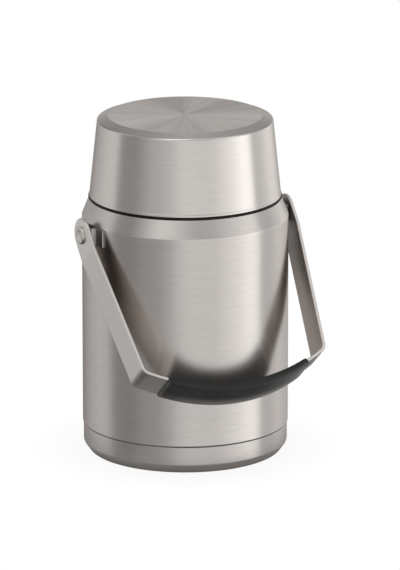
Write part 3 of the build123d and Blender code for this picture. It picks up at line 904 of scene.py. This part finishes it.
# Pivots: pressed brackets, friction washers and dished rivets
rivet = {
    "seatX": 72.0,
    "head": 5.6,
    "height": 1.5,
    "dish": 3.6,
    "dishDepth": 0.5,
    "shank": 3.0,
    "tailX": 67.2,
    "tail": 4.2,
    "tailHeight": 1.0,
    "tailDraft": 0.4,
}
washer = {"inner": 3.02, "outer": 5.3, "softness": 0.15}
bracket = {"edgeRound": 0.25}
for side, place in ((-1, "left"), (1, "right")):
    outwards = Matrix.Translation((0, 0, bail["pivotZ"])) @ Matrix.Rotation(side * pi / 2, 4, "Y")
    crownX = rivet["seatX"] + rivet["height"]
    head = turned([
        (0, rivet["tailX"] - rivet["tailHeight"]),
        (rivet["tail"] - rivet["tailDraft"], rivet["tailX"] - rivet["tailHeight"], 0.3),
        (rivet["tail"], rivet["tailX"], 0.3),
        (rivet["shank"], rivet["tailX"]),
        (rivet["shank"], rivet["seatX"]),
        (rivet["head"], rivet["seatX"], 0.15),
        (rivet["head"], crownX, 0.75),
        (rivet["dish"], crownX, 0.5),
        (rivet["dish"] / 2, crownX - rivet["dishDepth"], 2.0),
        (0, crownX - rivet["dishDepth"]),
    ], longest=1.0, steps=72)
    bmesh.ops.transform(head, matrix=outwards, verts=head.verts)
    addPiece(head, "rivet_" + place, "pivotSteel", "rivet_" + place)

    low, high = (sorted(abs(corner.x / mm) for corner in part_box("friction_washer_" + place)))
    disc = turned([
        (washer["inner"], (low + high) / 2),
        (washer["inner"], low, washer["softness"]),
        (washer["outer"], low, washer["softness"]),
        (washer["outer"], high, washer["softness"]),
        (washer["inner"], high, washer["softness"]),
        (washer["inner"], (low + high) / 2),
    ], longest=1.0, steps=64)
    bmesh.ops.transform(disc, matrix=outwards, verts=disc.verts)
    addPiece(disc, "frictionWasher_" + place, "nylon", "friction_washer_" + place)

    hat = bmesh.new()
    hat.from_mesh(frame["nodes"]["bracket_" + place].data)
    bmesh.ops.scale(hat, vec=(1 / mm, 1 / mm, 1 / mm), verts=hat.verts)
    bmesh.ops.remove_doubles(hat, verts=hat.verts, dist=0.002)
    bmesh.ops.dissolve_limit(hat, angle_limit=radians(1), verts=hat.verts, edges=hat.edges)
    soften(hat, sharpEdges(hat, 0.9), bracket["edgeRound"], 3, clamp=True)
    addPiece(hat, "bracket_" + place, "bracketSteel_" + place, "bracket_" + place)
print("pivots made")

# CAD solids that stay: inside the base and the stopper, and behind the pivots
keptFinish = {
    "shell_bottom": "innerSteel",
    "evacuation_seal": "innerSteel",
    "getter": "innerSteel",
    "backing_washer_left": "innerSteel",
    "backing_washer_right": "innerSteel",
    "stopper_foam": "foam",
}
for node, finishName in keptFinish.items():
    slots = frame["nodes"][node].data.materials
    slots.clear()
    slots.append(finishes[finishName])

# Floor, studio and camera
view = {
    "target": Vector((0, 0, 0.110)),
    "azimuth": radians(-25.6),
    "elevation": radians(15.3),
    "distance": 3.805,
    "lens": 381,
    "aimRight": 0.0093,
    "aimUp": -0.0046,
    "clipStart": 0.1,
}
azimuth, elevation = view["azimuth"], view["elevation"]
right = Vector((cos(azimuth), sin(azimuth), 0))
up = Vector((-sin(azimuth) * sin(elevation), cos(azimuth) * sin(elevation), cos(elevation)))
back = Vector((sin(azimuth) * cos(elevation), -cos(azimuth) * cos(elevation), sin(elevation)))
aim = view["target"] + right * view["aimRight"] + up * view["aimUp"]
cameraData = bpy.data.cameras.new("camera")
cameraData.lens = view["lens"]
cameraData.clip_start = view["clipStart"]
camera = bpy.data.objects.new("camera", cameraData)
camera.location = view["target"] + back * view["distance"]
camera.rotation_euler = (aim - camera.location).to_track_quat("-Z", "Y").to_euler()
scene.collection.objects.link(camera)
scene.camera = camera

ground = {
    "radius": 0.9,
    "drop": 0.0002,
    "fadeStart": 0.064,  # the sheet fades out between these, and the backdrop shows beyond
    "fadeEnd": 0.100,
    "color": (0.55, 0.55, 0.545, 1),
    "whiteSeen": 0.93,
    "whiteReflected": 0.02,
}
floorMesh = bpy.data.meshes.new("floor")
floorShape = bmesh.new()
bmesh.ops.create_circle(floorShape, cap_ends=True, segments=64, radius=ground["radius"])
bmesh.ops.translate(floorShape, vec=(0, 0, -ground["drop"]), verts=floorShape.verts)
floorShape.to_mesh(floorMesh)
floorShape.free()
floorMaterial, floorFinish = newFinish("floorPaper")
floorX, floorY, floorZ = floorFinish.split(floorFinish.objectPlace())
away = (floorX * floorX + floorY * floorY) ** 0.5
paper = floorFinish.node("ShaderNodeBsdfDiffuse", sockets={"Color": ground["color"]})
white = floorFinish.node("ShaderNodeEmission", sockets={"Strength": 1.0})
clear = floorFinish.node("ShaderNodeBsdfTransparent")
lightPath = floorFinish.node("ShaderNodeLightPath").socket.node.outputs
seen = Value(floorFinish, lightPath["Is Camera Ray"]) * ground["whiteSeen"]
seen += Value(floorFinish, lightPath["Is Transmission Ray"]) * ground["whiteSeen"]
seen += Value(floorFinish, lightPath["Is Glossy Ray"]) * ground["whiteReflected"]
sheet = floorFinish.node("ShaderNodeMixShader", sockets={0: seen, 1: paper, 2: white})
gone = floorFinish.spread(away, ground["fadeStart"], ground["fadeEnd"], 0, 1)
faded = floorFinish.node("ShaderNodeMixShader", sockets={0: gone, 1: sheet, 2: clear})
floorFinish.node("ShaderNodeOutputMaterial", sockets={0: faded})
floorMesh.materials.append(floorMaterial)
floor = bpy.data.objects.new("floor", floorMesh)
scene.collection.objects.link(floor)

# The studio round the object: levels at degrees from the camera's side, positive to its right, in three
# rings, and then levels from straight down, -1, to straight up, 1
studio = {
    "skirting": [(-180, 0.25), (-160, 0.22), (-144, 0.36), (-128, 0.49), (-112, 0.56), (-98, 0.54),
                 (-90, 0.40), (-80, 0.28), (-64, 0.27), (-48, 0.33), (-32, 0.385), (-16, 0.57), (-6, 0.75),
                 (8, 0.84), (32, 0.82), (62, 1.04), (76, 1.17), (86, 1.13), (96, 0.61), (112, 0.58),
                 (128, 0.65), (144, 0.49), (160, 0.46), (180, 0.29)],
    "walls": [(-180, 0.25), (-157, 0.335), (-141, 0.48), (-126, 0.58), (-112, 0.66), (-97, 0.67),
              (-87, 0.28), (-62, 0.28), (-46, 0.37), (-30, 0.325), (-16, 0.48), (-6, 0.77), (8, 0.87),
              (36, 0.84), (60, 1.10), (76, 1.47), (88, 1.45), (95, 0.55), (110, 0.72), (126, 0.95),
              (141, 0.95), (157, 0.51), (165, 0.35), (180, 0.25)],
    "ceiling": [(-180, 0.65), (-168, 0.57), (-152, 0.38), (-139, 0.28), (-125, 0.50), (-110, 0.76),
                (-96, 0.86), (-84, 0.40), (-66, 0.39), (-52, 0.68), (-40, 0.98), (-30, 1.12), (-16, 1.03),
                (0, 0.80), (16, 0.64), (32, 0.68), (48, 0.86), (64, 1.06), (78, 1.28), (88, 1.28),
                (96, 0.72), (110, 0.66), (125, 0.63), (139, 0.46), (152, 0.45), (166, 0.62), (180, 0.63)],
    "wallsFrom": (-0.26, -0.18),
    "ceilingFrom": (-0.10, 0.20),
    "bounce": 1.6,  # white from below, for the matt surfaces only
    "bounceFrom": (-0.35, -0.1),
    "heights": [(-1, 0.04), (-0.62, 0.15), (-0.42, 1.0), (-0.3, 1.4), (-0.1, 1.55), (0.05, 1.55),
                (0.22, 1.0), (0.5, 1.0), (0.75, 1.2), (0.9, 1.2), (1, 1.8)],
}
world = bpy.data.worlds.new("studio")
scene.world = world
room = Finish(world)
roomX, roomY, roomZ = room.split(room.node("ShaderNodeTexCoord", out="Generated"))
heading = room.node("ShaderNodeMath", {"operation": "ARCTAN2"}, {0: roomX, 1: roomY * -1})
heading = room.node("ShaderNodeMath", {"operation": "WRAP"}, {0: heading - azimuth, 1: pi, 2: -pi})
rings = []
for zone in ("skirting", "walls", "ceiling"):  # a ramp's levels end at 1, so they are halved here
    stops = stopsRound(studio[zone], 0.5)
    rings.append(room.node("ShaderNodeValToRGB", {"stops": stops}, {0: heading / (2 * pi) + 0.5}))
stops = [((height + 1) / 2, level / 2) for height, level in studio["heights"]]
heights = room.node("ShaderNodeValToRGB", {"stops": stops}, {0: roomZ * 0.5 + 0.5})
above = room.spread(roomZ, *studio["wallsFrom"], 0, 1)
overhead = room.spread(roomZ, *studio["ceilingFrom"], 0, 1)
sides = rings[0] * (1 - above) + rings[1] * above
brightness = (sides * (1 - overhead) + rings[2] * overhead) * heights * 4  # and made whole again here
roomPath = room.node("ShaderNodeLightPath").socket.node.outputs
bounce = room.spread(roomZ, *studio["bounceFrom"], studio["bounce"], 0)
brightness += Value(room, roomPath["Is Diffuse Ray"]) * bounce
backdropRay = Value(room, roomPath["Is Camera Ray"]) + Value(room, roomPath["Is Transmission Ray"])
roomLight = room.node("ShaderNodeBackground", sockets={"Strength": brightness})
backdrop = room.node("ShaderNodeBackground", sockets={"Strength": 1.0, "Color": (1, 1, 1, 1)})
shown = room.node("ShaderNodeMixShader", sockets={0: backdropRay, 1: roomLight, 2: backdrop})
room.node("ShaderNodeOutputWorld", sockets={0: shown})

lamp = {
    "place": (-0.25, -0.2, 1.3),
    "aim": (0, 0, 0.15),
    "size": 0.6,
    "power": 1.0,
}
lampData = bpy.data.lights.new("overhead", "AREA")
lampData.shape = "SQUARE"
lampData.size = lamp["size"]
lampData.energy = lamp["power"]
lampObject = bpy.data.objects.new("overhead", lampData)
lampObject.location = lamp["place"]
lampObject.rotation_euler = (Vector(lamp["aim"]) - lampObject.location).to_track_quat("-Z", "Y").to_euler()
scene.collection.objects.link(lampObject)
print("studio made")
